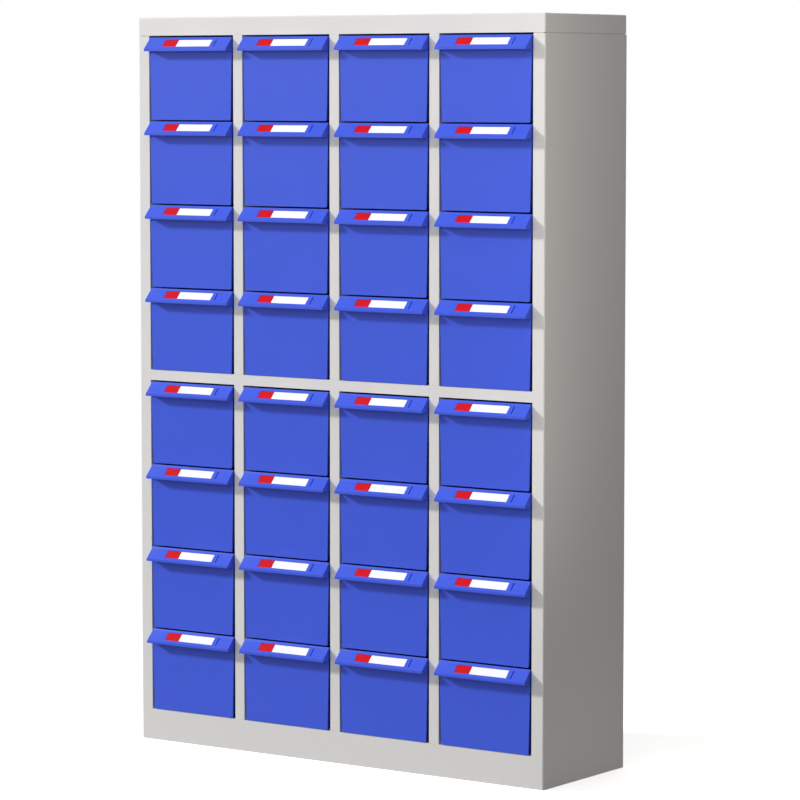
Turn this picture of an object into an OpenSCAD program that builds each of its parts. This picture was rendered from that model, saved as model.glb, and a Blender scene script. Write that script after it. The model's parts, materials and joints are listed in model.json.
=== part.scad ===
// Free-standing parts cabinet: a folded sheet steel carcass with two bays of
// hanging moulded drawers, each with a hooded pull and a label pocket.
// Millimetres, +Z up, front towards -Y. The origin is on the floor, in the
// middle of the footprint that the carcass and the pulls cover together.

/* [Carcass] */
// Width over the side panels
cabinet_w = 745; // [700:1:900]
// Depth from the face of the frame to the rear edges
cabinet_d = 220; // [195:1:320]
// Height from the floor to the top
cabinet_h = 1120; // [900:1:1400]
// Thickness of the folded sheet
sheet_t = 1; // [0.8:0.1:1.2]
// Outside radius of the long corner folds
fold_r = 2; // [1.6:0.1:4]

/* [Face frame] */
// Width of each outer stile
stile_w = 20.5; // [18:0.5:30]
// Width of each upright between two columns
mullion_w = 17.5; // [12:0.5:30]
// Depth of the top cap's flange, which is the top rail
cap_h = 28; // [24:1:40]
// Open seam between the cap's flange and the sides and stiles under it
seam_gap = 0.8; // [0.3:0.1:1]
// Height of the rail between the two bays
mid_rail_h = 16; // [14:1:30]
// Height of the plinth rail
bottom_rail_h = 48; // [30:1:80]
// How far the stile folds back into the opening
return_d = 14; // [8:1:25]

/* [Back] */
// How far the back panel is set in from the rear edges
back_inset = 3; // [2.8:0.1:6]
// Width of the rear flanges that carry the back panel
rear_flange_w = 17; // [14:1:18]
// Height of the small stiffening lips and flanges
lip_w = 12; // [10:1:13]
// How far the side panels and the back reach up inside the cap
tongue_h = 18; // [12:1:20]
// Slip between parts that fit inside each other
fit_gap = 0.3; // [0.2:0.1:0.5]

/* [Screws] */
// Radius of a screw's shank
screw_r = 1.9; // [1.5:0.1:2.2]
// Length of the shank below the head
screw_l = 6; // [5:0.5:9]
// Radius of the pan head
screw_head_r = 3.6; // [3:0.1:4.5]
// Height of the pan head
screw_head_h = 1.5; // [1:0.1:1.6]
// Screws up each side of the back panel
side_screws = 5; // [3:1:8]
// Radial slip between a shank and its hole
screw_gap = 0.05; // [0.03:0.01:0.1]

/* [Drawers] */
// Columns of drawers
columns = 4; // [2:1:4]
// Rows of drawers in each bay
bay_rows = 4; // [2:1:4]
// Gap between one front and the next
front_gap = 2.5; // [2:0.1:4]
// Gap over the highest front of a bay
head_gap = 2.6; // [2:0.1:4]
// Gap under the lowest front of a bay
sill_gap = 0.5; // [0.4:0.1:2]
// Gap beside the top edge of a front
side_gap = 1.6; // [1.2:0.1:3]
// Thickness of a front
front_t = 2.2; // [2:0.1:3]
// How far a front stands out of the frame
front_proud = 0.6; // [0.4:0.1:1.8]
// Cut across the corners of a front
front_corner = 1.2; // [0.5:0.1:3]
// Draft of the fronts and the tub's walls, in degrees
draft = 1.5; // [1:0.1:2]
// Thickness of the tub's walls
wall_t = 1.8; // [1.5:0.1:2.5]
// Thickness of the tub's floor
floor_t = 2; // [1.5:0.1:3]
// Height of the tub's underside over the front's lower edge
tub_lift = 2.5; // [2:0.1:5]
// Radius of the tub's rear corners
tub_corner_r = 9; // [8:0.5:12]
// Bevel between the tub's walls and floor
tub_bevel = 4; // [2:0.5:5]
// Clearance behind the rim at rest
rear_gap = 8; // [5:1:20]
// Height and width of the ribs that hold partitions
rib_w = 1.4; // [1.2:0.1:1.8]
// Space between the two ribs of a pair
rib_slot = 2; // [1.5:0.1:3]
// Pairs of ribs along each side of the tub
rib_pairs = 2; // [1:1:3]

/* [Runners] */
// How far a drawer pulls out
travel = 150; // [100:1:160]
// Thickness of a runner's sheet
runner_t = 1; // [0.8:0.1:1.2]
// How far a runner reaches from its wall
runner_reach = 6.5; // [5:0.1:8]
// Running gap above and below the rim
run_gap = 0.3; // [0.25:0.05:0.5]
// Gap between a runner and the tub's wall
tub_gap = 0.9; // [0.8:0.1:2]
// Gap between the rim's edge and the runner's web
rim_gap = 1.2; // [0.8:0.1:2]
// Thickness of the rim round the tub
rim_t = 2; // [1.8:0.1:3]
// Depth of the rim under the front's top edge
rim_drop = 2; // [1.9:0.1:3]
// How far the rim reaches out behind the tub
rim_rear = 3; // [2:0.5:5]
// Setback of a runner behind the face of the frame
runner_setback = 3; // [2.5:0.5:8]
// Length of a stop lug under the rim
lug_l = 4; // [3:0.5:6]
// Height of a stop lug and of the tab that stops it
lug_h = 8; // [5:0.5:12]
// Gap left between the lug and its tab at full travel
stop_gap = 0.4; // [0.3:0.1:1]

/* [Pull] */
// How far the pull stands out from the front
pull_reach = 15; // [12:0.5:17]
// Height of the pull from its top to the lip
pull_drop = 21; // [19:0.5:24]
// Height of the pull's lip
pull_lip = 3.5; // [2.5:0.1:5]
// Wall thickness of the pull
pull_wall = 2; // [1.8:0.1:2.4]
// Reach of the steep strip along the pull's top edge
strip_out = 1.7; // [1:0.1:2.5]
// Height of the steep strip along the pull's top edge
strip_drop = 3.2; // [2:0.1:4]
// Thickness of the cheeks that close the pull's ends
cheek_t = 2; // [1.5:0.1:3]
// Radius of the blend from a cheek into the front
cheek_r = 5; // [2:0.5:8]
// Setback of the pull's ends from the front's sides
pull_end_gap = 0.6; // [0.3:0.1:1.5]

/* [Label pocket] */
// Distance from the pull's left end to the pocket
pocket_left = 33; // [20:0.5:36]
// Length of the pocket
pocket_l = 91; // [80:0.5:93]
// Height of the pocket up the slope
pocket_h = 14.2; // [12:0.1:14.5]
// Depth of the pocket
pocket_t = 1.1; // [0.7:0.1:1.2]
// Distance from the strip down to the pocket
pocket_top = 0.6; // [0.4:0.1:1]
// Length of the coloured marker at the pocket's left end
marker_l = 26; // [15:0.5:35]
// Thickness of the marker and the card
card_t = 0.5; // [0.3:0.1:0.6]
// Slip round the marker and the card
card_gap = 0.3; // [0.1:0.05:0.4]
// Width of the slit that the card slides in through
slit_w = 1.8; // [1.2:0.1:2.5]
// Width of the bridge between the pocket and the slit
bridge_w = 7.2; // [5:0.1:8]

/* [Hidden] */
STEEL = [0.86, 0.855, 0.845];
ZINC = [0.72, 0.74, 0.77];
BLUE = [0.27, 0.36, 0.80];
RED = [0.86, 0.10, 0.13];
WHITE = [0.97, 0.97, 0.96];
BAYS = ["upper", "lower"];
SIDES = [-1, 1];
CARCASS_NODES = [
    "top_cap", "ceiling_panel", "side_panel_left", "side_panel_right",
    "liner_left", "liner_right", "back_panel", "middle_shelf", "base_tray",
    "back_screws"
];
DIVIDER_NODES = [for (bay = [0, 1], i = [0 : columns - 2]) divider_name(bay, i)];
RUNNER_NODES = [for (bay = [0, 1], c = [0 : columns - 1]) runners_name(bay, c)];
DRAWER_NODES = [for (c = [0 : columns - 1], r = [0 : 2 * bay_rows - 1]) drawer_name(c, r)];

// The face of the frame lies ahead of the middle by half of what the carcass
// and the pulls measure together
face_y = (front_proud + pull_reach - cabinet_d) / 2;
half_w = cabinet_w / 2;
seam_z = cabinet_h - cap_h;
bay_h = (seam_z - mid_rail_h - bottom_rail_h) / 2;
rear_y = cabinet_d - back_inset;
clear_half = half_w - stile_w;
opening_w = (2 * clear_half - (columns - 1) * mullion_w) / columns;
divider_d = rear_y - sheet_t - fit_gap;
back_half = half_w - 2 * sheet_t - fit_gap;
screw_x = half_w - (rear_flange_w + sheet_t) / 2;
screw_y = rear_y + sheet_t;

front_h = (bay_h - head_gap - sill_gap - (bay_rows - 1) * front_gap) / bay_rows;
front_half = opening_w / 2 - side_gap;
front_taper = front_h * tan(draft);
rim_half = opening_w / 2 - runner_t - rim_gap;
tub_half = opening_w / 2 - runner_reach - tub_gap;
rim_y = rear_y - sheet_t - rear_gap;
tub_d = rim_y - rim_rear;
tub_h = front_h - tub_lift - rim_drop;
plate_back = front_t - front_proud;
floor_inset = tub_h * tan(draft);

runner_low = rim_drop + rim_t + run_gap + runner_t;
runner_high = rim_drop - run_gap - runner_t;
lug_y = tub_d - tub_corner_r - lug_l;
tab_y = lug_y - travel - stop_gap;

pull_half = front_half - pull_end_gap;
slope = atan((pull_drop - pull_lip - strip_drop) / (pull_reach - strip_out));
pull_path = [
    [pull_reach, -pull_drop],
    [pull_reach, pull_lip - pull_drop],
    [strip_out, -strip_drop],
    [0, 0]
];

function divider_name(bay, i) = str("divider_", BAYS[bay], "_", i + 1);
function runners_name(bay, c) = str("runners_", BAYS[bay], "_", c + 1);
function drawer_name(c, r) = str("drawer_", chr(ord("a") + c), r + 1);
function bay_floor(bay) = bottom_rail_h + (1 - bay) * (bay_h + mid_rail_h);
function column_x(c) = (c - (columns - 1) / 2) * (opening_w + mullion_w);
function mullion_x(i) = column_x(i) + (opening_w + mullion_w) / 2;
function front_top(bay, r) = bay_floor(bay) + bay_h - head_gap - r * (front_h + front_gap);

function arc(centre, r, from, to, steps = 4) =
    [for (i = [0 : steps]) let (a = from + (to - from) * i / steps) centre + r * [cos(a), sin(a)]];
function left_of(v) = [-v[1], v[0]] / norm(v);

// The outline of a sheet that follows a path, with its thickness to the left
function sheet_normal(path, i) = left_of(path[i + 1] - path[i]);
function sheet_inner(path, i, t) =
    let (
        before = sheet_normal(path, max(i - 1, 0)),
        after = sheet_normal(path, min(i, len(path) - 2))
    )
    path[i] + t * (before + after) / (1 + before * after);
function folded(path, t) =
    concat(path, [for (i = [len(path) - 1 : -1 : 0]) sheet_inner(path, i, t)]);

// Extrudes a profile of (y, z) points along X over a width centred on zero
module along_x(width) {
    translate([-width / 2, 0, 0])
        rotate([90, 0, 90])
            linear_extrude(width)
                children();
}

// Extrudes a profile of (x, z) points backwards from y = 0
module along_y(depth) {
    translate([0, depth, 0])
        rotate([90, 0, 0])
            linear_extrude(depth)
                children();
}

module in_frame(x = 0, z = 0) {
    translate([x, face_y, z])
        children();
}

// Shanks or holes at each place where a screw goes through the back panel
module each_screw() {
    rise = (seam_z - bottom_rail_h) / (side_screws - 1);
    for (side = SIDES, i = [0 : side_screws - 1])
        in_frame(side * screw_x, bottom_rail_h / 2 + i * rise)
            children();
    for (side = SIDES, z = [seam_z - lip_w / 2, bay_floor(0) - mid_rail_h / 2, bottom_rail_h / 2])
        in_frame(side * column_x(columns - 1) * 2 / 3, z)
            children();
}

module screw_holes() {
    each_screw()
        translate([0, screw_y + fit_gap, 0])
            rotate([90, 0, 0])
                cylinder(r = screw_r + screw_gap, h = screw_l + 2 * fit_gap, $fn = 24);
}

// A block with its origin at the middle of its base, its upright corners and
// upper edges rounded
module soft_block(size, r) {
    x = size[0] / 2;
    y = size[1] / 2;
    intersection() {
        linear_extrude(size[2])
            polygon(concat(
                arc([r - x, r - y], r, 180, 270), arc([x - r, r - y], r, 270, 360),
                arc([x - r, y - r], r, 0, 90), arc([r - x, y - r], r, 90, 180)
            ));
        translate([0, -y, 0])
            along_y(size[1])
                polygon(concat(
                    [[-x, 0], [x, 0]],
                    arc([x - r, size[2] - r], r, 0, 90), arc([r - x, size[2] - r], r, 90, 180)
                ));
        along_x(size[0])
            polygon(concat(
                [[-y, 0], [y, 0]],
                arc([y - r, size[2] - r], r, 0, 90), arc([r - y, size[2] - r], r, 90, 180)
            ));
    }
}

// Lid with a flange all round: its front flange is the top rail
module top_cap() {
    color(STEEL)
        in_frame(z = seam_z)
            translate([0, cabinet_d / 2, 0])
                difference() {
                    soft_block([cabinet_w, cabinet_d, cap_h], fold_r);
                    translate([0, 0, -sheet_t])
                        soft_block([cabinet_w - 2 * sheet_t, cabinet_d - 2 * sheet_t, cap_h], fold_r - sheet_t);
                }
}

// Panel over the upper bay, with its sides turned up and its rear turned down
module ceiling_panel() {
    edge_x = half_w - 2 * sheet_t - fit_gap;
    edge_y = 2 * sheet_t + fit_gap;
    color(STEEL)
        difference() {
            in_frame(z = seam_z) {
                linear_extrude(sheet_t)
                    polygon([
                        [-clear_half, sheet_t], [clear_half, sheet_t],
                        [clear_half, edge_y], [edge_x, edge_y],
                        [edge_x, rear_y], [-edge_x, rear_y],
                        [-edge_x, edge_y], [-clear_half, edge_y]
                    ]);
                translate([-clear_half, sheet_t, 0])
                    cube([2 * clear_half, sheet_t, lip_w]);
                translate([-clear_half, rear_y - sheet_t, -lip_w])
                    cube([2 * clear_half, sheet_t, lip_w + sheet_t]);
                for (side = SIDES)
                    translate([side * (edge_x - sheet_t / 2) - sheet_t / 2, edge_y, 0])
                        cube([sheet_t, rear_y - edge_y, lip_w]);
            }
            screw_holes();
        }
}

// Plan of a side panel: return, stile, rounded corner and side, then the hem
// and the flange that the back panel screws to. Zero is the outer face.
module side_plan() {
    polygon(folded(concat(
        [[-stile_w, return_d], [-stile_w, 0]],
        arc([-fold_r, fold_r], fold_r, 270, 360),
        [[0, cabinet_d]]
    ), sheet_t));
    translate([-2 * sheet_t, rear_y - sheet_t])
        square([sheet_t, back_inset + sheet_t]);
    translate([-rear_flange_w, rear_y - sheet_t])
        square([rear_flange_w - sheet_t, sheet_t]);
}

// One side with its stile. Joggled tongues at the top pass up inside the cap,
// with a relief between them at the corner, and a foot flange turns in.
module side_panel() {
    lap = 2 * sheet_t + seam_gap;
    relief = 2 * fold_r;
    foot_end = rear_y - 2 * sheet_t - fit_gap;
    difference() {
        in_frame(half_w) {
            linear_extrude(seam_z - seam_gap)
                side_plan();
            translate([fit_gap - stile_w, sheet_t, seam_z - lap])
                cube([stile_w - relief - fit_gap, sheet_t, tongue_h + lap]);
            translate([-2 * sheet_t, relief, seam_z - lap])
                cube([sheet_t, rear_y - relief - sheet_t, tongue_h + lap]);
            translate([-lip_w, relief, 0])
                cube([lip_w - sheet_t, foot_end - relief, sheet_t]);
        }
        screw_holes();
    }
}

module side_panel_right() {
    color(STEEL)
        side_panel();
}

module side_panel_left() {
    color(STEEL)
        mirror([1, 0, 0])
            side_panel();
}

// Inner wall behind a stile, flush with the opening, which carries runners
module liner() {
    difference() {
        in_frame(half_w)
            linear_extrude(seam_z)
                polygon(folded([
                    [-sheet_t - fit_gap, rear_y - sheet_t],
                    [-stile_w, rear_y - sheet_t],
                    [-stile_w, return_d + fit_gap]
                ], sheet_t));
        screw_holes();
    }
}

module liner_right() {
    color(STEEL)
        liner();
}

module liner_left() {
    color(STEEL)
        mirror([1, 0, 0])
            liner();
}

module back_panel() {
    low = sheet_t + fit_gap;
    color(STEEL)
        difference() {
            in_frame(z = low)
                translate([-back_half, rear_y, 0])
                    cube([2 * back_half, sheet_t, seam_z + tongue_h - low]);
            screw_holes();
        }
}

// A shelf with its front and rear folded down and back in, from one side of
// the openings to the other, and with turned-down ends
module folded_shelf(low, high) {
    path = [
        [rear_y - lip_w, low], [rear_y, low], [rear_y, high],
        [0, high], [0, low], [lip_w, low]
    ];
    difference() {
        union() {
            in_frame()
                along_x(2 * clear_half)
                    polygon(folded(path, sheet_t));
            for (side = SIDES)
                in_frame(side * (clear_half - sheet_t / 2) - sheet_t / 2, high - lip_w)
                    translate([0, lip_w + sheet_t, 0])
                        cube([sheet_t, rear_y - 2 * lip_w - 2 * sheet_t, lip_w]);
        }
        screw_holes();
    }
}

module middle_shelf() {
    color(STEEL)
        folded_shelf(bay_floor(0) - mid_rail_h, bay_floor(0));
}

module base_tray() {
    color(STEEL)
        folded_shelf(0, bottom_rail_h);
}

// Upright between two columns: a deep channel whose web is the mullion
module divider(bay, i) {
    edge = mullion_w / 2;
    path = [
        [mullion_w / 3 - edge, divider_d], [-edge, divider_d], [-edge, 0],
        [edge, 0], [edge, divider_d], [edge - mullion_w / 3, divider_d]
    ];
    color(STEEL)
        in_frame(mullion_x(i), bay_floor(bay))
            linear_extrude(bay_h)
                polygon(folded(path, sheet_t));
}

// Channel along the right wall of a column. The drawer's rim slides in it, and
// the tab under it stops the drawer's lug.
module runner() {
    wall = opening_w / 2;
    path = [
        [wall - runner_reach, -runner_low], [wall, -runner_low],
        [wall, -runner_high], [wall - runner_reach, -runner_high]
    ];
    translate([0, runner_setback, 0])
        along_y(rim_y - runner_setback)
            polygon(folded(path, runner_t));
    translate([wall - runner_reach, tab_y - runner_t, -runner_low - lug_h])
        cube([runner_reach, runner_t, lug_h]);
}

module runners(bay, c) {
    color(ZINC)
        for (r = [0 : bay_rows - 1], side = [0, 1])
            in_frame(column_x(c), front_top(bay, r))
                mirror([side, 0, 0])
                    runner();
}

module back_screws() {
    color(ZINC)
        each_screw()
            translate([0, screw_y, 0])
                rotate([-90, 0, 0]) {
                    cylinder(r1 = screw_head_r, r2 = screw_head_r * 0.7, h = screw_head_h, $fn = 24);
                    translate([0, 0, -screw_l])
                        cylinder(r = screw_r, h = screw_l, $fn = 24);
                }
}

// Plan of the tub, drawn in from the full size at its sides and rear
function tub_ring(inset, z, half, rear, r) =
    let (x = half - inset, y = rear - inset, c = r - inset)
    [for (p = concat(
        [[-x, plate_back / 2], [x, plate_back / 2]],
        arc([x - c, y - c], c, 0, 90), arc([c - x, y - c], c, 90, 180)
    )) [p[0], p[1], z]];

// Closed skin through rings of equally many points, from the lowest ring up
module loft(rings) {
    n = len(rings[0]);
    top = len(rings) - 1;
    polyhedron(
        points = [for (ring = rings) each ring],
        faces = concat(
            [[for (i = [0 : n - 1]) i]],
            [for (k = [0 : top - 1], i = [0 : n - 1])
                [k * n + i, (k + 1) * n + i, (k + 1) * n + (i + 1) % n, k * n + (i + 1) % n]],
            [[for (i = [n - 1 : -1 : 0]) top * n + i]]
        )
    );
}

module tub_form(half, rear, r, height, bevel) {
    flat = floor_inset + bevel * 0.8;
    wall_low = (height - bevel) * tan(draft);
    loft([
        tub_ring(flat, -rim_drop - height, half, rear, r),
        tub_ring(wall_low, -rim_drop - height + bevel, half, rear, r),
        tub_ring(0, -rim_drop, half, rear, r)
    ]);
}

module front_plate() {
    low = front_half - front_taper;
    c = front_corner;
    translate([0, -front_proud, 0])
        along_y(front_t)
            polygon([
                [-front_half, -c], [c - front_half, 0], [front_half - c, 0], [front_half, -c],
                [low, c - front_h], [low - c, -front_h], [c - low, -front_h], [-low, c - front_h]
            ]);
}

// Ribs in pairs down the inside of both walls, for partitions to slide between
module tub_ribs() {
    depth = tub_d - plate_back;
    rib_h = tub_h - floor_t - tub_bevel;
    for (side = SIDES, i = [1 : rib_pairs], j = SIDES)
        translate([
            side * (tub_half - wall_t),
            plate_back + i * depth / (rib_pairs + 1) + j * (rib_slot + rib_w) / 2,
            -rim_drop - rim_t
        ])
            rotate([0, side * draft, 0])
                translate([-rib_w, -rib_w / 2, rim_t - rib_h])
                    cube([2 * rib_w, rib_w, rib_h - rim_t]);
}

// Rim round three sides of the tub, and the lugs under it that stop the drawer
module rim_and_lugs() {
    translate([-rim_half, plate_back / 2, -rim_drop - rim_t])
        cube([2 * rim_half, rim_y - plate_back / 2, rim_t]);
    lug_w = opening_w / 2 - tub_half - 2 * runner_t - rim_gap;
    for (side = [0, 1])
        mirror([side, 0, 0])
            translate([tub_half - wall_t, lug_y, -runner_low - lug_h])
                cube([lug_w + wall_t, lug_l, lug_h - run_gap]);
}

// Puts a child on the pull's slope: x along it from its left end, -y down it
// from the strip, and z out of its surface
module on_slope() {
    translate([-pull_half, -front_proud - strip_out, -strip_drop])
        rotate([slope, 0, 0])
            children();
}

module pocket_cut() {
    on_slope() {
        translate([pocket_left, -pocket_top - pocket_h, -pocket_t])
            cube([pocket_l, pocket_h, 2 * pocket_t]);
        translate([pocket_left + pocket_l + bridge_w, -pocket_top - pocket_h, -2 * pull_wall])
            cube([slit_w, pocket_h, 3 * pull_wall]);
    }
}

// Hooded pull along the top of the front, open underneath for the fingers
module pull() {
    cheek = concat(pull_path, arc([cheek_r, -pull_drop - cheek_r], cheek_r, 180, 90));
    translate([0, -front_proud, 0])
        mirror([0, 1, 0]) {
            along_x(2 * pull_half)
                polygon(folded(pull_path, pull_wall));
            for (side = SIDES)
                translate([side * (pull_half - cheek_t / 2), 0, 0])
                    along_x(cheek_t)
                        polygon(cheek);
        }
}

// A flat insert in the label pocket, from one distance along it to another
module insert(from, to) {
    on_slope()
        translate([pocket_left + from + card_gap, card_gap - pocket_top - pocket_h, card_gap - pocket_t])
            cube([to - from - 2 * card_gap, pocket_h - 2 * card_gap, card_t]);
}

module drawer_shell() {
    difference() {
        union() {
            front_plate();
            tub_form(tub_half, tub_d, tub_corner_r, tub_h, tub_bevel);
            rim_and_lugs();
            pull();
        }
        difference() {
            translate([0, plate_back / 2, 0])
                tub_form(
                    tub_half - wall_t, tub_d - wall_t - plate_back / 2, tub_corner_r - wall_t,
                    tub_h - floor_t, tub_bevel
                );
            tub_ribs();
        }
        pocket_cut();
    }
}

module drawer(bay, c, r) {
    in_frame(column_x(c), front_top(bay, r)) {
        color(BLUE)
            drawer_shell();
        color(RED)
            insert(0, marker_l);
        color(WHITE)
            insert(marker_l, pocket_l);
    }
}

top_cap();
ceiling_panel();
side_panel_left();
side_panel_right();
liner_left();
liner_right();
back_panel();
middle_shelf();
base_tray();
back_screws();
for (bay = [0, 1], i = [0 : columns - 2])
    divider(bay, i);
for (bay = [0, 1], c = [0 : columns - 1])
    runners(bay, c);
for (bay = [0, 1], c = [0 : columns - 1], r = [0 : bay_rows - 1])
    drawer(bay, c, r);
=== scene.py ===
"""Dresses a parts cabinet: powder-coated carcass, moulded drawers with labels, lamps and camera."""

import json
import math

import bmesh
import bpy
from mathutils import Color, Euler, Matrix, Vector


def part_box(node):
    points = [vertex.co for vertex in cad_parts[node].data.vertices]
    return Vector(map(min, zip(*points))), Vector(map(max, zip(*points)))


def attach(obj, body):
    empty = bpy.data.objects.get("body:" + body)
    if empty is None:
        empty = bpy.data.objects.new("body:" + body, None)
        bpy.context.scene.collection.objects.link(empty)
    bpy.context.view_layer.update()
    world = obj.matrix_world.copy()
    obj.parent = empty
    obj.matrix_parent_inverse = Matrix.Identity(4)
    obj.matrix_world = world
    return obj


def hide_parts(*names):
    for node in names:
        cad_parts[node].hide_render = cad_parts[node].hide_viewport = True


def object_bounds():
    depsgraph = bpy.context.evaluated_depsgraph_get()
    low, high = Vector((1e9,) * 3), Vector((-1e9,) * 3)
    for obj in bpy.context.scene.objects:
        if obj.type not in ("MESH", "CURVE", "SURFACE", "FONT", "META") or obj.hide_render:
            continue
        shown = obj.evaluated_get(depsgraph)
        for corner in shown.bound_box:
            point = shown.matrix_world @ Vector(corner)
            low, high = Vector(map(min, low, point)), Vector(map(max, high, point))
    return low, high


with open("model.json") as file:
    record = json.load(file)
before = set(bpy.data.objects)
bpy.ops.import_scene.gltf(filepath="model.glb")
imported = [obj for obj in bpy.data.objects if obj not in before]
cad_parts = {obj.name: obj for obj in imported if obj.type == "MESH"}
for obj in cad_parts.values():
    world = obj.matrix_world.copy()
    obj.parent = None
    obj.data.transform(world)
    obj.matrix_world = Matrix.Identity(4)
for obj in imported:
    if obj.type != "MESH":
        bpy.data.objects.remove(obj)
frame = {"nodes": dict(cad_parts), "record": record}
CAD_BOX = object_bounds()

bl_info = {
    "name": "Parts Cabinet Dresser",
    "version": (1, 0, 0),
    "blender": (4, 5, 0),
    "location": "3D View > Sidebar > Cabinet",
    "description": "Gives a steel cabinet of moulded drawers its finishes, labels, lamps and camera",
    "category": "Object",
}

MM = 0.001
NODES = frame["nodes"]
BODIES = frame["record"]["behaviour"]["bodies"]
DRAWERS = sorted(name for name in NODES if name.startswith("drawer_"))
ZINC_RUNNERS = sorted(name for name in NODES if name.startswith("runners_"))
SCREWS = "back_screws"
SHEET_STEEL = sorted(set(NODES) - set(DRAWERS) - set(ZINC_RUNNERS) - {SCREWS})

# Corners of the carried-over meshes closer than this are one corner
MERGE = 0.002 * MM
# Faces that turn less than this at an edge are one flat face
FLAT = math.radians(0.5)
# An edge that turns more than this is a real one, and is rounded
CREASE = math.radians(24)
# Faces across the rounding of a larger piece's edge, and of a screw's, marker's or card's
EDGE_FACES = 2
SMALL_EDGE_FACES = 1
# Rounding of a marker's or card's edges, and of a screw's
LABEL_EDGE = 0.1 * MM
SCREW_EDGE = 0.06 * MM
# Outline of a screw from its tip to the flat on its head, as radius and height over the panel,
# in millimetres
SCREW_OUTLINE = (
    (0, -6), (1.4, -6), (1.9, -5.5), (1.9, 0), (3.6, 0), (3.6, 0.3), (3.35, 0.75),
    (2.9, 1.15), (2.35, 1.4), (1.9, 1.5),
)
# Upper and lower loop of the cross recess, as height, half an arm's width and its reach, in
# millimetres
SCREW_RECESS = ((1.5, 0.36, 1.6), (0.4, 0.22, 1.0))
# Faces round a screw
SCREW_SIDES = 28
# Turn from one screw to the next
SCREW_TURN = math.radians(37)

# Value round which a noise texture varies
NOISE_MIDDLE = 0.5
WHITE = (1.0, 1.0, 1.0)
# Tint of the lamps beside the right side
WARM = (1.0, 0.93, 0.89)
# Half the side of the square floor, in metres
FLOOR_HALF = 12
# Distances from the cabinet's middle between which a shadow on the floor fades away
SHADOW_FADE = (0.45, 1.6)
# Width of the camera's sensor, in millimetres
SENSOR_WIDTH = 36


def paint(red, green, blue):
    """Scene-linear colour, with alpha, of a screen colour given as 0 to 255."""
    colour = Color((red / 255, green / 255, blue / 255)).from_srgb_to_scene_linear()
    return (*colour, 1.0)


class CabinetFinish(bpy.types.PropertyGroup):
    """Finish of the steel carcass and its fittings."""

    coat_colour: bpy.props.FloatVectorProperty(
        name="Powder coat", description="Colour of the coat on the sheet steel",
        default=paint(227, 225, 222), size=4, min=0, max=1, subtype="COLOR",
    )
    coat_roughness: bpy.props.FloatProperty(
        name="Coat roughness", description="Roughness of the coat",
        default=0.36, min=0, max=1, subtype="FACTOR",
    )
    fold_round: bpy.props.FloatProperty(
        name="Fold rounding", description="Rounding of the coated edges",
        default=0.35 * MM, min=0, max=0.5 * MM, unit="LENGTH",
    )
    runner_round: bpy.props.FloatProperty(
        name="Runner rounding", description="Rounding of the runners' edges",
        default=0.15 * MM, min=0, max=0.3 * MM, unit="LENGTH",
    )
    zinc_colour: bpy.props.FloatVectorProperty(
        name="Zinc", description="Colour of the zinc plating on runners and screws",
        default=paint(196, 199, 203), size=4, min=0, max=1, subtype="COLOR",
    )


class DrawerFinish(bpy.types.PropertyGroup):
    """Finish of the moulded drawers and what is in their label pockets."""

    plastic_colour: bpy.props.FloatVectorProperty(
        name="Plastic", description="Colour of the moulded drawers",
        default=paint(60, 90, 221), size=4, min=0, max=1, subtype="COLOR",
    )
    plastic_roughness: bpy.props.FloatProperty(
        name="Plastic roughness", description="Roughness of the moulded surface",
        default=0.34, min=0, max=1, subtype="FACTOR",
    )
    mould_round: bpy.props.FloatProperty(
        name="Mould rounding", description="Rounding of the moulded edges",
        default=0.3 * MM, min=0, max=0.6 * MM, unit="LENGTH",
    )
    marker_colour: bpy.props.FloatVectorProperty(
        name="Marker", description="Colour of the marker at the left end of a label",
        default=paint(213, 10, 22), size=4, min=0, max=1, subtype="COLOR",
    )
    card_colour: bpy.props.FloatVectorProperty(
        name="Card", description="Colour of the blank label card",
        default=paint(250, 250, 249), size=4, min=0, max=1, subtype="COLOR",
    )


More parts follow.
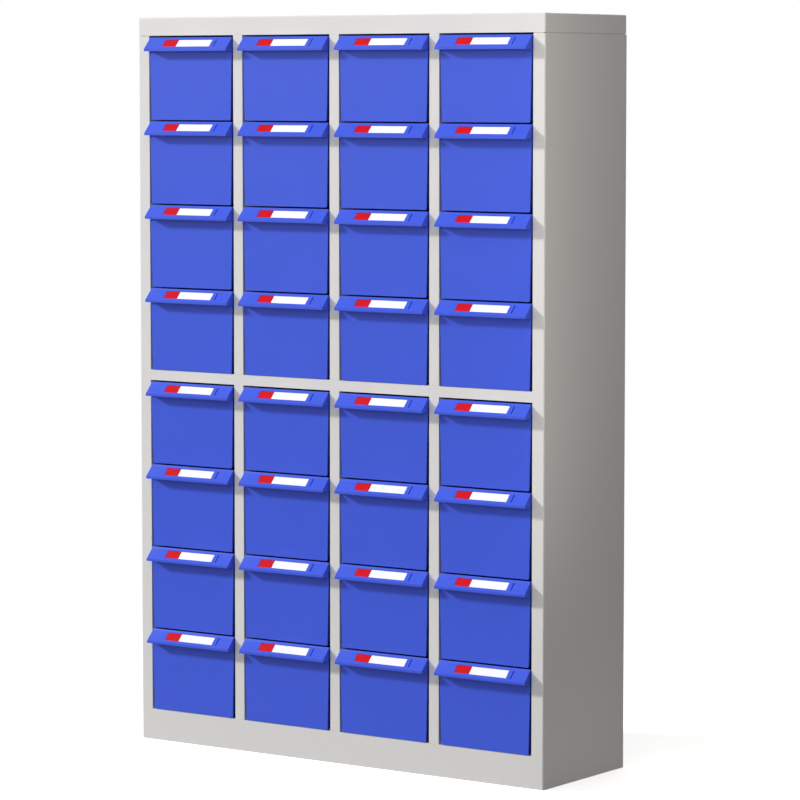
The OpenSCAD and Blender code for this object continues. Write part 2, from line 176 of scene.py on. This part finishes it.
class StudioSetup(bpy.types.PropertyGroup):
    """Camera, lamps and backdrop."""

    camera_place: bpy.props.FloatVectorProperty(
        name="Camera place", description="Where the camera stands",
        default=(3.1967, -4.4758, 1.021), subtype="TRANSLATION", unit="LENGTH",
    )
    camera_heading: bpy.props.FloatProperty(
        name="Heading", description="Turn of the camera to the left of straight ahead",
        default=math.radians(35.13), unit="ROTATION",
    )
    camera_tilt: bpy.props.FloatProperty(
        name="Tilt", description="How far the camera looks down",
        default=math.radians(4.61), unit="ROTATION",
    )
    camera_lens: bpy.props.FloatProperty(
        name="Focal length", description="Focal length for a sensor 36 mm wide",
        default=163.9, min=20, unit="CAMERA",
    )
    camera_shift: bpy.props.FloatProperty(
        name="Shift", description="Upward shift of the lens, as a share of the picture",
        default=-0.03, min=-0.5, max=0.5,
    )
    key_power: bpy.props.FloatProperty(
        name="Key power", description="Power of the softbox far out on the left",
        default=1330, min=0, unit="POWER",
    )
    fill_power: bpy.props.FloatProperty(
        name="Fill power", description="Power of the tall softbox in front",
        default=63, min=0, unit="POWER",
    )
    gleam_power: bpy.props.FloatProperty(
        name="Gleam power", description="Power of the softbox that the upper fronts mirror",
        default=15, min=0, unit="POWER",
    )
    side_power: bpy.props.FloatProperty(
        name="Side power", description="Power of the softbox over the right side",
        default=6.9, min=0, unit="POWER",
    )
    edge_power: bpy.props.FloatProperty(
        name="Edge power", description="Power of the thin strip beside the right corner",
        default=0.4, min=0, unit="POWER",
    )
    foot_power: bpy.props.FloatProperty(
        name="Foot power", description="Power of the strip on the floor beside the right side",
        default=0.05, min=0, unit="POWER",
    )
    rear_power: bpy.props.FloatProperty(
        name="Rear power", description="Power of the softbox behind the cabinet",
        default=68, min=0, unit="POWER",
    )
    room_level: bpy.props.FloatProperty(
        name="Room level", description="Strength of the even light from the room",
        default=0.08, min=0, max=2,
    )
    floor_colour: bpy.props.FloatVectorProperty(
        name="Floor", description="Colour of the floor",
        default=paint(244, 244, 243), size=4, min=0, max=1, subtype="COLOR",
    )
    floor_bounce: bpy.props.FloatVectorProperty(
        name="Floor bounce", description="Colour with which the floor throws light on the cabinet",
        default=paint(115, 115, 115), size=4, min=0, max=1, subtype="COLOR",
    )
    floor_glow: bpy.props.FloatProperty(
        name="Floor glow", description="How bright the floor shows in a shadow beside the cabinet",
        default=0.58, min=0, max=1, subtype="FACTOR",
    )


# Materials


def new_group(name, inputs, outputs):
    """An empty shader group with these sockets, and the nodes at its two ends."""
    group = bpy.data.node_groups.new(name, "ShaderNodeTree")
    for label, kind, value in inputs:
        socket = group.interface.new_socket(label, in_out="INPUT", socket_type=kind)
        socket.default_value = value
    for label, kind in outputs:
        group.interface.new_socket(label, in_out="OUTPUT", socket_type=kind)
    return group, group.nodes.new("NodeGroupInput"), group.nodes.new("NodeGroupOutput")


def add_node(tree, kind, links=(), **values):
    """A node with some inputs set by name, and others linked from (input, socket) pairs."""
    node = tree.nodes.new(kind)
    for label, value in values.items():
        if hasattr(node, label):
            setattr(node, label, value)
        else:
            node.inputs[label.replace("_", " ")].default_value = value
    for label, source in links:
        tree.links.new(source, node.inputs[label])
    return node


def mottle_group():
    """Slow drift of colour and gloss over a surface, as from the mould or the spray gun."""
    group, ends, out = new_group(
        "Mottle",
        [
            ("Color", "NodeSocketColor", (0.8, 0.8, 0.8, 1)),
            ("Roughness", "NodeSocketFloat", 0.4),
            ("Patches per Metre", "NodeSocketFloat", 6),
            ("Colour Drift", "NodeSocketFloat", 0.03),
            ("Gloss Drift", "NodeSocketFloat", 0.05),
        ],
        [("Color", "NodeSocketColor"), ("Roughness", "NodeSocketFloat")],
    )
    place = add_node(group, "ShaderNodeTexCoord")
    patches = add_node(
        group, "ShaderNodeTexNoise", Detail=3.0, Roughness=0.55,
        links=[("Vector", place.outputs["Object"]), ("Scale", ends.outputs["Patches per Metre"])],
    )
    centred = add_node(
        group, "ShaderNodeMath", operation="SUBTRACT", links=[(0, patches.outputs[0])]
    )
    centred.inputs[1].default_value = NOISE_MIDDLE
    tone = add_node(
        group, "ShaderNodeMath", operation="MULTIPLY_ADD",
        links=[(0, centred.outputs[0]), (1, ends.outputs["Colour Drift"])],
    )
    tone.inputs[2].default_value = 1.0
    toned = add_node(
        group, "ShaderNodeVectorMath", operation="SCALE",
        links=[(0, ends.outputs["Color"]), ("Scale", tone.outputs[0])],
    )
    gloss = add_node(
        group, "ShaderNodeMath", operation="MULTIPLY_ADD",
        links=[
            (0, centred.outputs[0]),
            (1, ends.outputs["Gloss Drift"]),
            (2, ends.outputs["Roughness"]),
        ],
    )
    group.links.new(toned.outputs[0], out.inputs["Color"])
    group.links.new(gloss.outputs[0], out.inputs["Roughness"])
    return group


def grain_group():
    """Fine relief: a broad ripple and a fine grit on top, in shares that add up."""
    group, ends, out = new_group(
        "Grain",
        [
            ("Ripples per Metre", "NodeSocketFloat", 500),
            ("Grit per Metre", "NodeSocketFloat", 3000),
            ("Grit Share", "NodeSocketFloat", 0.3),
        ],
        [("Height", "NodeSocketFloat")],
    )
    place = add_node(group, "ShaderNodeTexCoord")
    ripple = add_node(
        group, "ShaderNodeTexNoise", Detail=1.0,
        links=[("Vector", place.outputs["Object"]), ("Scale", ends.outputs["Ripples per Metre"])],
    )
    grit = add_node(
        group, "ShaderNodeTexNoise", Detail=2.0,
        links=[("Vector", place.outputs["Object"]), ("Scale", ends.outputs["Grit per Metre"])],
    )
    both = add_node(
        group, "ShaderNodeMix", data_type="FLOAT",
        links=[
            (0, ends.outputs["Grit Share"]),
            (2, ripple.outputs[0]),
            (3, grit.outputs[0]),
        ],
    )
    group.links.new(both.outputs[0], out.inputs["Height"])
    return group


def finish(name, colour, roughness, mottle, grain, depth, **constants):
    """A material of mottled colour and gloss with a fine relief.

    mottle is patches per metre, colour drift and gloss drift. grain is ripples and grit per
    metre and the grit's share. depth is the relief's height. Constants go on the shader.
    """
    material = bpy.data.materials.new(name)
    material.use_nodes = True
    tree = material.node_tree
    shader = tree.nodes["Principled BSDF"]
    surface = add_node(
        tree, "ShaderNodeGroup", node_tree=bpy.data.node_groups["Mottle"],
        Color=colour, Roughness=roughness, Patches_per_Metre=mottle[0],
        Colour_Drift=mottle[1], Gloss_Drift=mottle[2],
    )
    relief = add_node(
        tree, "ShaderNodeGroup", node_tree=bpy.data.node_groups["Grain"],
        Ripples_per_Metre=grain[0], Grit_per_Metre=grain[1], Grit_Share=grain[2],
    )
    bump = add_node(
        tree, "ShaderNodeBump", links=[("Height", relief.outputs["Height"])],
        Strength=1.0, Distance=depth,
    )
    tree.links.new(surface.outputs["Color"], shader.inputs["Base Color"])
    tree.links.new(surface.outputs["Roughness"], shader.inputs["Roughness"])
    tree.links.new(bump.outputs["Normal"], shader.inputs["Normal"])
    for label, value in constants.items():
        shader.inputs[label.replace("_", " ")].default_value = value
    return material


def powder_coat(props):
    """Semi-gloss powder coat with a faint orange peel."""
    return finish(
        "coated_sheet", props.coat_colour, roughness=props.coat_roughness,
        mottle=(5, 0.025, 0.08), grain=(420, 2600, 0.15), depth=0.03 * MM,
        Specular_IOR_Level=0.4,
    )


def zinc_plate(props):
    """Bright zinc plating, a little dull and patchy."""
    return finish(
        "zinc_plate", props.zinc_colour, roughness=0.34,
        mottle=(90, 0.12, 0.16), grain=(1500, 6000, 0.5), depth=0.01 * MM, Metallic=1.0,
    )


def moulded_plastic(props):
    """Polypropylene from a lightly spark-eroded mould."""
    return finish(
        "moulded_plastic", props.plastic_colour, roughness=props.plastic_roughness,
        mottle=(9, 0.04, 0.06), grain=(900, 5200, 0.6), depth=0.012 * MM,
        IOR=1.49, Specular_IOR_Level=0.32,
    )


def marker_film(props):
    """Coloured film of the marker, with a dull sheen."""
    return finish(
        "marker_film", props.marker_colour, roughness=0.55,
        mottle=(60, 0.05, 0.05), grain=(600, 3000, 0.3), depth=0.006 * MM,
        Specular_IOR_Level=0.1,
    )


def card_stock(props):
    """Matt white card with a faint fibre."""
    return finish(
        "card_stock", props.card_colour, roughness=0.75,
        mottle=(160, 0.02, 0.05), grain=(2500, 9000, 0.5), depth=0.01 * MM,
        Specular_IOR_Level=0.25,
    )


# Shapes


def solids_of(node):
    """The separate solids of a CAD node, each as a clean bmesh, the largest first."""
    whole = bmesh.new()
    whole.from_mesh(NODES[node].data)
    bmesh.ops.remove_doubles(whole, verts=whole.verts, dist=MERGE)
    whole.verts.index_update()
    label = [None] * len(whole.verts)
    solids = []
    for first in whole.verts:
        if label[first.index] is not None:
            continue
        reached = [first]
        label[first.index] = len(solids)
        for vert in reached:
            for edge in vert.link_edges:
                other = edge.other_vert(vert)
                if label[other.index] is None:
                    label[other.index] = len(solids)
                    reached.append(other)
        solid = whole.copy()
        rest = [vert for vert, own in zip(solid.verts, label) if own != len(solids)]
        bmesh.ops.delete(solid, geom=rest, context="VERTS")
        solids.append(solid)
    whole.free()
    for solid in solids:
        bmesh.ops.dissolve_limit(
            solid, angle_limit=FLAT, verts=solid.verts, edges=solid.edges, delimit=set()
        )
    return sorted(solids, key=lambda solid: -solid.calc_volume())


def round_edges(bm, radius, segments=EDGE_FACES):
    """Rounds every real edge of a closed mesh."""
    sharp = [edge for edge in bm.edges if edge.calc_face_angle(0) > CREASE]
    bmesh.ops.bevel(
        bm, geom=sharp, offset=radius, offset_type="OFFSET", segments=segments,
        profile=0.5, affect="EDGES", clamp_overlap=True, material=-1,
    )


def smooth_mesh(bm, name):
    """The mesh of a bmesh, shaded smooth, with the bmesh freed."""
    for face in bm.faces:
        face.smooth = True
    mesh = bpy.data.meshes.new(name)
    bm.to_mesh(mesh)
    bm.free()
    return mesh


def add_piece(name, mesh, material, body):
    """A finished piece that rides on a body."""
    piece = bpy.data.objects.new(name, mesh)
    bpy.context.scene.collection.objects.link(piece)
    mesh.materials.clear()
    mesh.materials.append(material)
    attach(piece, body)
    return piece


def even_normals(piece):
    """Keeps large flat faces flat under smooth shading."""
    weighted = piece.modifiers.new("Even normals", "WEIGHTED_NORMAL")
    weighted.keep_sharp = True
    weighted.weight = 100


def body_of(node):
    """The body that a CAD node belongs to."""
    return next(body for body, members in BODIES.items() if node in members)


def soften_node(node, material, radius):
    """Gives a CAD node a material, and rounded edges by modifiers."""
    piece = NODES[node]
    piece.data.materials.clear()
    piece.data.materials.append(material)
    weld = piece.modifiers.new("Weld", "WELD")
    weld.merge_threshold = MERGE
    flat = piece.modifiers.new("Flat faces", "DECIMATE")
    flat.decimate_type = "DISSOLVE"
    flat.angle_limit = FLAT
    bevel = piece.modifiers.new("Round edges", "BEVEL")
    bevel.width = radius
    bevel.segments = EDGE_FACES
    bevel.limit_method = "ANGLE"
    bevel.angle_limit = CREASE
    even_normals(piece)
    for polygon in piece.data.polygons:
        polygon.use_smooth = True


def cross_loop(bm, height, half, reach):
    """The edges of a closed cross across the Y axis."""
    quarter = [(half, half), (half, reach), (-half, reach)]
    corners = []
    for _ in range(4):
        corners += [bm.verts.new((x * MM, height * MM, z * MM)) for x, z in quarter]
        quarter = [(-z, x) for x, z in quarter]
    return [bm.edges.new(pair) for pair in zip(corners, corners[1:] + corners[:1])]


def screw_pattern():
    """A pan-head screw along Y with a cross recess, its head's underside at the origin."""
    bm = bmesh.new()
    outline = [bm.verts.new((radius * MM, height * MM, 0)) for radius, height in SCREW_OUTLINE]
    run = [bm.edges.new(pair) for pair in zip(outline, outline[1:])]
    bmesh.ops.spin(
        bm, geom=outline + run, cent=(0, 0, 0), axis=(0, 1, 0), angle=math.tau,
        steps=SCREW_SIDES, use_merge=True,
    )
    bmesh.ops.remove_doubles(bm, verts=bm.verts, dist=MERGE)
    upper, lower = [cross_loop(bm, *loop) for loop in SCREW_RECESS]
    bmesh.ops.contextual_create(bm, geom=lower)
    bmesh.ops.bridge_loops(bm, edges=upper + lower)
    rim = [edge for edge in bm.edges if edge.is_boundary]
    bmesh.ops.triangle_fill(bm, edges=rim, use_beauty=True)
    bmesh.ops.recalc_face_normals(bm, faces=bm.faces)
    return bm


# Operators


class CABINET_OT_mix_finishes(bpy.types.Operator):
    """Makes the shader groups and every material"""

    bl_idname = "cabinet.mix_finishes"
    bl_label = "Mix Finishes"

    def execute(self, context):
        mottle_group()
        grain_group()
        cabinet = context.scene.cabinet_finish
        drawers = context.scene.drawer_finish
        powder_coat(cabinet)
        zinc_plate(cabinet)
        moulded_plastic(drawers)
        marker_film(drawers)
        card_stock(drawers)
        return {"FINISHED"}


class CABINET_OT_coat_carcass(bpy.types.Operator):
    """Coats the folded sheet of the carcass and rounds its edges"""

    bl_idname = "cabinet.coat_carcass"
    bl_label = "Coat Carcass"

    def execute(self, context):
        props = context.scene.cabinet_finish
        for node in SHEET_STEEL:
            soften_node(node, bpy.data.materials["coated_sheet"], props.fold_round)
        return {"FINISHED"}


class CABINET_OT_plate_runners(bpy.types.Operator):
    """Plates the runners with zinc and rounds their edges"""

    bl_idname = "cabinet.plate_runners"
    bl_label = "Plate Runners"

    def execute(self, context):
        props = context.scene.cabinet_finish
        for node in ZINC_RUNNERS:
            soften_node(node, bpy.data.materials["zinc_plate"], props.runner_round)
        return {"FINISHED"}


class CABINET_OT_drive_screws(bpy.types.Operator):
    """Puts a screw with a cross recess at the place of every screw of the back panel"""

    bl_idname = "cabinet.drive_screws"
    bl_label = "Drive Screws"

    def execute(self, context):
        turned = screw_pattern()
        round_edges(turned, SCREW_EDGE, SMALL_EDGE_FACES)
        pattern = smooth_mesh(turned, "screw")
        head_top = SCREW_OUTLINE[-1][1] * MM
        screws = bmesh.new()
        for index, solid in enumerate(solids_of(SCREWS)):
            across = [vert.co.x for vert in solid.verts]
            along = [vert.co.y for vert in solid.verts]
            up = [vert.co.z for vert in solid.verts]
            place = Vector((
                (min(across) + max(across)) / 2, max(along) - head_top, (min(up) + max(up)) / 2
            ))
            turn = Matrix.Rotation(index * SCREW_TURN, 4, "Y")
            screw = pattern.copy()
            screw.transform(Matrix.Translation(place) @ turn)
            screws.from_mesh(screw)
            bpy.data.meshes.remove(screw)
            solid.free()
        bpy.data.meshes.remove(pattern)
        piece = add_piece(
            "back_screws_driven", smooth_mesh(screws, "back_screws_driven"),
            bpy.data.materials["zinc_plate"], body_of(SCREWS),
        )
        even_normals(piece)
        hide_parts(SCREWS)
        return {"FINISHED"}


class CABINET_OT_mould_drawers(bpy.types.Operator):
    """Makes the shell, marker and card of every drawer from the first drawer's solids"""

    bl_idname = "cabinet.mould_drawers"
    bl_label = "Mould Drawers"

    def execute(self, context):
        props = context.scene.drawer_finish
        first = DRAWERS[0]
        shell, card, marker = solids_of(first)
        round_edges(shell, props.mould_round)
        round_edges(card, LABEL_EDGE, SMALL_EDGE_FACES)
        round_edges(marker, LABEL_EDGE, SMALL_EDGE_FACES)
        patterns = [
            ("shell", smooth_mesh(shell, "shell"), "moulded_plastic"),
            ("card", smooth_mesh(card, "card"), "card_stock"),
            ("marker", smooth_mesh(marker, "marker"), "marker_film"),
        ]
        first_low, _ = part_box(first)
        for node in DRAWERS:
            low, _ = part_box(node)
            for kind, pattern, material in patterns:
                mesh = pattern.copy()
                mesh.transform(Matrix.Translation(low - first_low))
                surface = bpy.data.materials[material]
                piece = add_piece(f"{node}_{kind}", mesh, surface, body_of(node))
                even_normals(piece)
                if kind == "shell":
                    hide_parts(node)
        for _, pattern, _ in patterns:
            bpy.data.meshes.remove(pattern)
        return {"FINISHED"}


def shown_rays(tree):
    """Socket that is 1 for the rays that see the background: straight, in gloss and in glass."""
    path = tree.nodes.new("ShaderNodeLightPath")
    straight_or_gloss = add_node(
        tree, "ShaderNodeMath", operation="MAXIMUM",
        links=[(0, path.outputs["Is Camera Ray"]), (1, path.outputs["Is Glossy Ray"])],
    )
    seen = add_node(
        tree, "ShaderNodeMath", operation="MAXIMUM",
        links=[(0, straight_or_gloss.outputs[0]), (1, path.outputs["Is Transmission Ray"])],
    )
    return seen.outputs[0]


def room_world(level):
    """A room that shows white and lights the object by less."""
    world = bpy.data.worlds.new("Room")
    world.use_nodes = True
    tree = world.node_tree
    tree.nodes.clear()
    out = tree.nodes.new("ShaderNodeOutputWorld")
    shown = add_node(tree, "ShaderNodeBackground", Color=(*WHITE, 1), Strength=1.0)
    lighting = add_node(tree, "ShaderNodeBackground", Color=(*WHITE, 1), Strength=level)
    both = add_node(
        tree, "ShaderNodeMixShader",
        links=[(0, shown_rays(tree)), (1, lighting.outputs[0]), (2, shown.outputs[0])],
    )
    tree.links.new(both.outputs[0], out.inputs["Surface"])
    return world


def floor_material(props):
    """Floor that shows white, with a soft shadow near the object, and throws little light up."""
    material = bpy.data.materials.new("floor")
    material.use_nodes = True
    tree = material.node_tree
    lit = tree.nodes["Principled BSDF"]
    lit.inputs["Base Color"].default_value = props.floor_colour
    lit.inputs["Roughness"].default_value = 0.9
    place = add_node(tree, "ShaderNodeTexCoord")
    reach = add_node(
        tree, "ShaderNodeVectorMath", operation="LENGTH", links=[(0, place.outputs["Object"])]
    )
    fade = add_node(
        tree, "ShaderNodeMapRange", interpolation_type="SMOOTHSTEP",
        links=[("Value", reach.outputs["Value"])],
    )
    for label, value in zip(("From Min", "From Max"), SHADOW_FADE):
        fade.inputs[label].default_value = value
    glow = add_node(tree, "ShaderNodeEmission", Color=(*WHITE, 1), Strength=props.floor_glow)
    near = add_node(tree, "ShaderNodeAddShader", links=[(0, lit.outputs[0]), (1, glow.outputs[0])])
    far = add_node(tree, "ShaderNodeEmission", Color=(*WHITE, 1), Strength=1.0)
    shown = add_node(
        tree, "ShaderNodeMixShader",
        links=[(0, fade.outputs[0]), (1, near.outputs[0]), (2, far.outputs[0])],
    )
    bounce = add_node(tree, "ShaderNodeBsdfDiffuse", Color=props.floor_bounce)
    surface = add_node(
        tree, "ShaderNodeMixShader",
        links=[(0, shown_rays(tree)), (1, bounce.outputs[0]), (2, shown.outputs[0])],
    )
    tree.links.new(surface.outputs[0], tree.nodes["Material Output"].inputs["Surface"])
    return material


def add_floor(props):
    """The floor, which isn't part of the cabinet."""
    bm = bmesh.new()
    bmesh.ops.create_grid(bm, x_segments=1, y_segments=1, size=FLOOR_HALF)
    mesh = bpy.data.meshes.new("floor")
    bm.to_mesh(mesh)
    bm.free()
    mesh.materials.append(floor_material(props))
    floor = bpy.data.objects.new("floor", mesh)
    bpy.context.scene.collection.objects.link(floor)


def add_softbox(name, place, target, size, power, tint=WHITE):
    """A rectangular lamp at a place, turned to a target."""
    lamp = bpy.data.lights.new(name, "AREA")
    lamp.color = tint
    lamp.shape = "RECTANGLE"
    lamp.size, lamp.size_y = size
    lamp.energy = power
    box = bpy.data.objects.new(name, lamp)
    box.location = place
    box.rotation_euler = (Vector(target) - Vector(place)).to_track_quat("-Z", "Y").to_euler()
    box.visible_camera = False
    bpy.context.scene.collection.objects.link(box)


def add_lamps(props):
    """The softboxes, each with its place, target and size in metres."""
    low, high = CAD_BOX
    middle = (low + high) / 2
    side = Vector((high.x, -0.05, 0.9))
    corner = Vector((high.x, -0.09, 0.84))
    foot = Vector((high.x, 0.0, 0.05))
    add_softbox("key", (-10.0, -4.3, 4.8), middle, (1.0, 1.0), props.key_power)
    add_softbox("fill", (0.2, -3.6, 2.3), middle, (3.6, 3.8), props.fill_power)
    add_softbox("gleam", (-3.5, -4.7, 1.7), middle, (1.4, 1.8), props.gleam_power)
    add_softbox("side", (1.4, -0.8, 2.6), side, (0.8, 0.8), props.side_power, WARM)
    add_softbox("edge", (0.56, -0.22, 0.84), corner, (0.06, 1.0), props.edge_power, WARM)
    add_softbox("foot", (0.6, 0.0, 0.015), foot, (0.3, 0.02), props.foot_power, WARM)
    add_softbox("rear", (-1.6, 3.6, 2.6), middle, (4.0, 3.2), props.rear_power)


def add_camera(props):
    """The camera, which the scene then looks through."""
    lens = bpy.data.cameras.new("camera")
    lens.lens = props.camera_lens
    lens.sensor_width = SENSOR_WIDTH
    lens.shift_y = props.camera_shift
    camera = bpy.data.objects.new("camera", lens)
    camera.location = props.camera_place
    camera.rotation_euler = Euler((math.pi / 2 - props.camera_tilt, 0, props.camera_heading))
    bpy.context.scene.collection.objects.link(camera)
    bpy.context.scene.camera = camera


class CABINET_OT_set_stage(bpy.types.Operator):
    """Sets the floor, the room's light, the softboxes and the camera"""

    bl_idname = "cabinet.set_stage"
    bl_label = "Set Stage"

    def execute(self, context):
        scene = context.scene
        props = scene.studio_setup
        add_floor(props)
        scene.world = room_world(props.room_level)
        add_lamps(props)
        add_camera(props)
        scene.view_settings.view_transform = "Standard"
        return {"FINISHED"}


class CABINET_PT_sidebar(bpy.types.Panel):
    """Lists the steps that dress the cabinet"""

    bl_label = "Parts Cabinet"
    bl_idname = "CABINET_PT_sidebar"
    bl_space_type = "VIEW_3D"
    bl_region_type = "UI"
    bl_category = "Cabinet"

    def draw(self, context):
        layout = self.layout
        for group in PROPERTY_GROUPS:
            box = layout.box()
            box.label(text=group.__doc__)
            props = getattr(context.scene, PROPERTY_GROUPS[group])
            for name in group.__annotations__:
                box.prop(props, name)
        for operator in OPERATORS:
            layout.operator(operator.bl_idname)


PROPERTY_GROUPS = {
    CabinetFinish: "cabinet_finish",
    DrawerFinish: "drawer_finish",
    StudioSetup: "studio_setup",
}
OPERATORS = (
    CABINET_OT_mix_finishes,
    CABINET_OT_coat_carcass,
    CABINET_OT_plate_runners,
    CABINET_OT_drive_screws,
    CABINET_OT_mould_drawers,
    CABINET_OT_set_stage,
)


def register():
    """Registers the properties, operators and panel."""
    for group, name in PROPERTY_GROUPS.items():
        bpy.utils.register_class(group)
        setattr(bpy.types.Scene, name, bpy.props.PointerProperty(type=group))
    for cls in (*OPERATORS, CABINET_PT_sidebar):
        bpy.utils.register_class(cls)


def unregister():
    """Takes them away again."""
    for cls in (CABINET_PT_sidebar, *reversed(OPERATORS)):
        bpy.utils.unregister_class(cls)
    for group, name in PROPERTY_GROUPS.items():
        delattr(bpy.types.Scene, name)
        bpy.utils.unregister_class(group)


def main():
    """Registers everything and runs the steps in order."""
    register()
    bpy.ops.cabinet.mix_finishes()
    bpy.ops.cabinet.coat_carcass()
    bpy.ops.cabinet.plate_runners()
    bpy.ops.cabinet.drive_screws()
    bpy.ops.cabinet.mould_drawers()
    bpy.ops.cabinet.set_stage()
    bpy.context.view_layer.update()


if __name__ == "__main__":
    main()
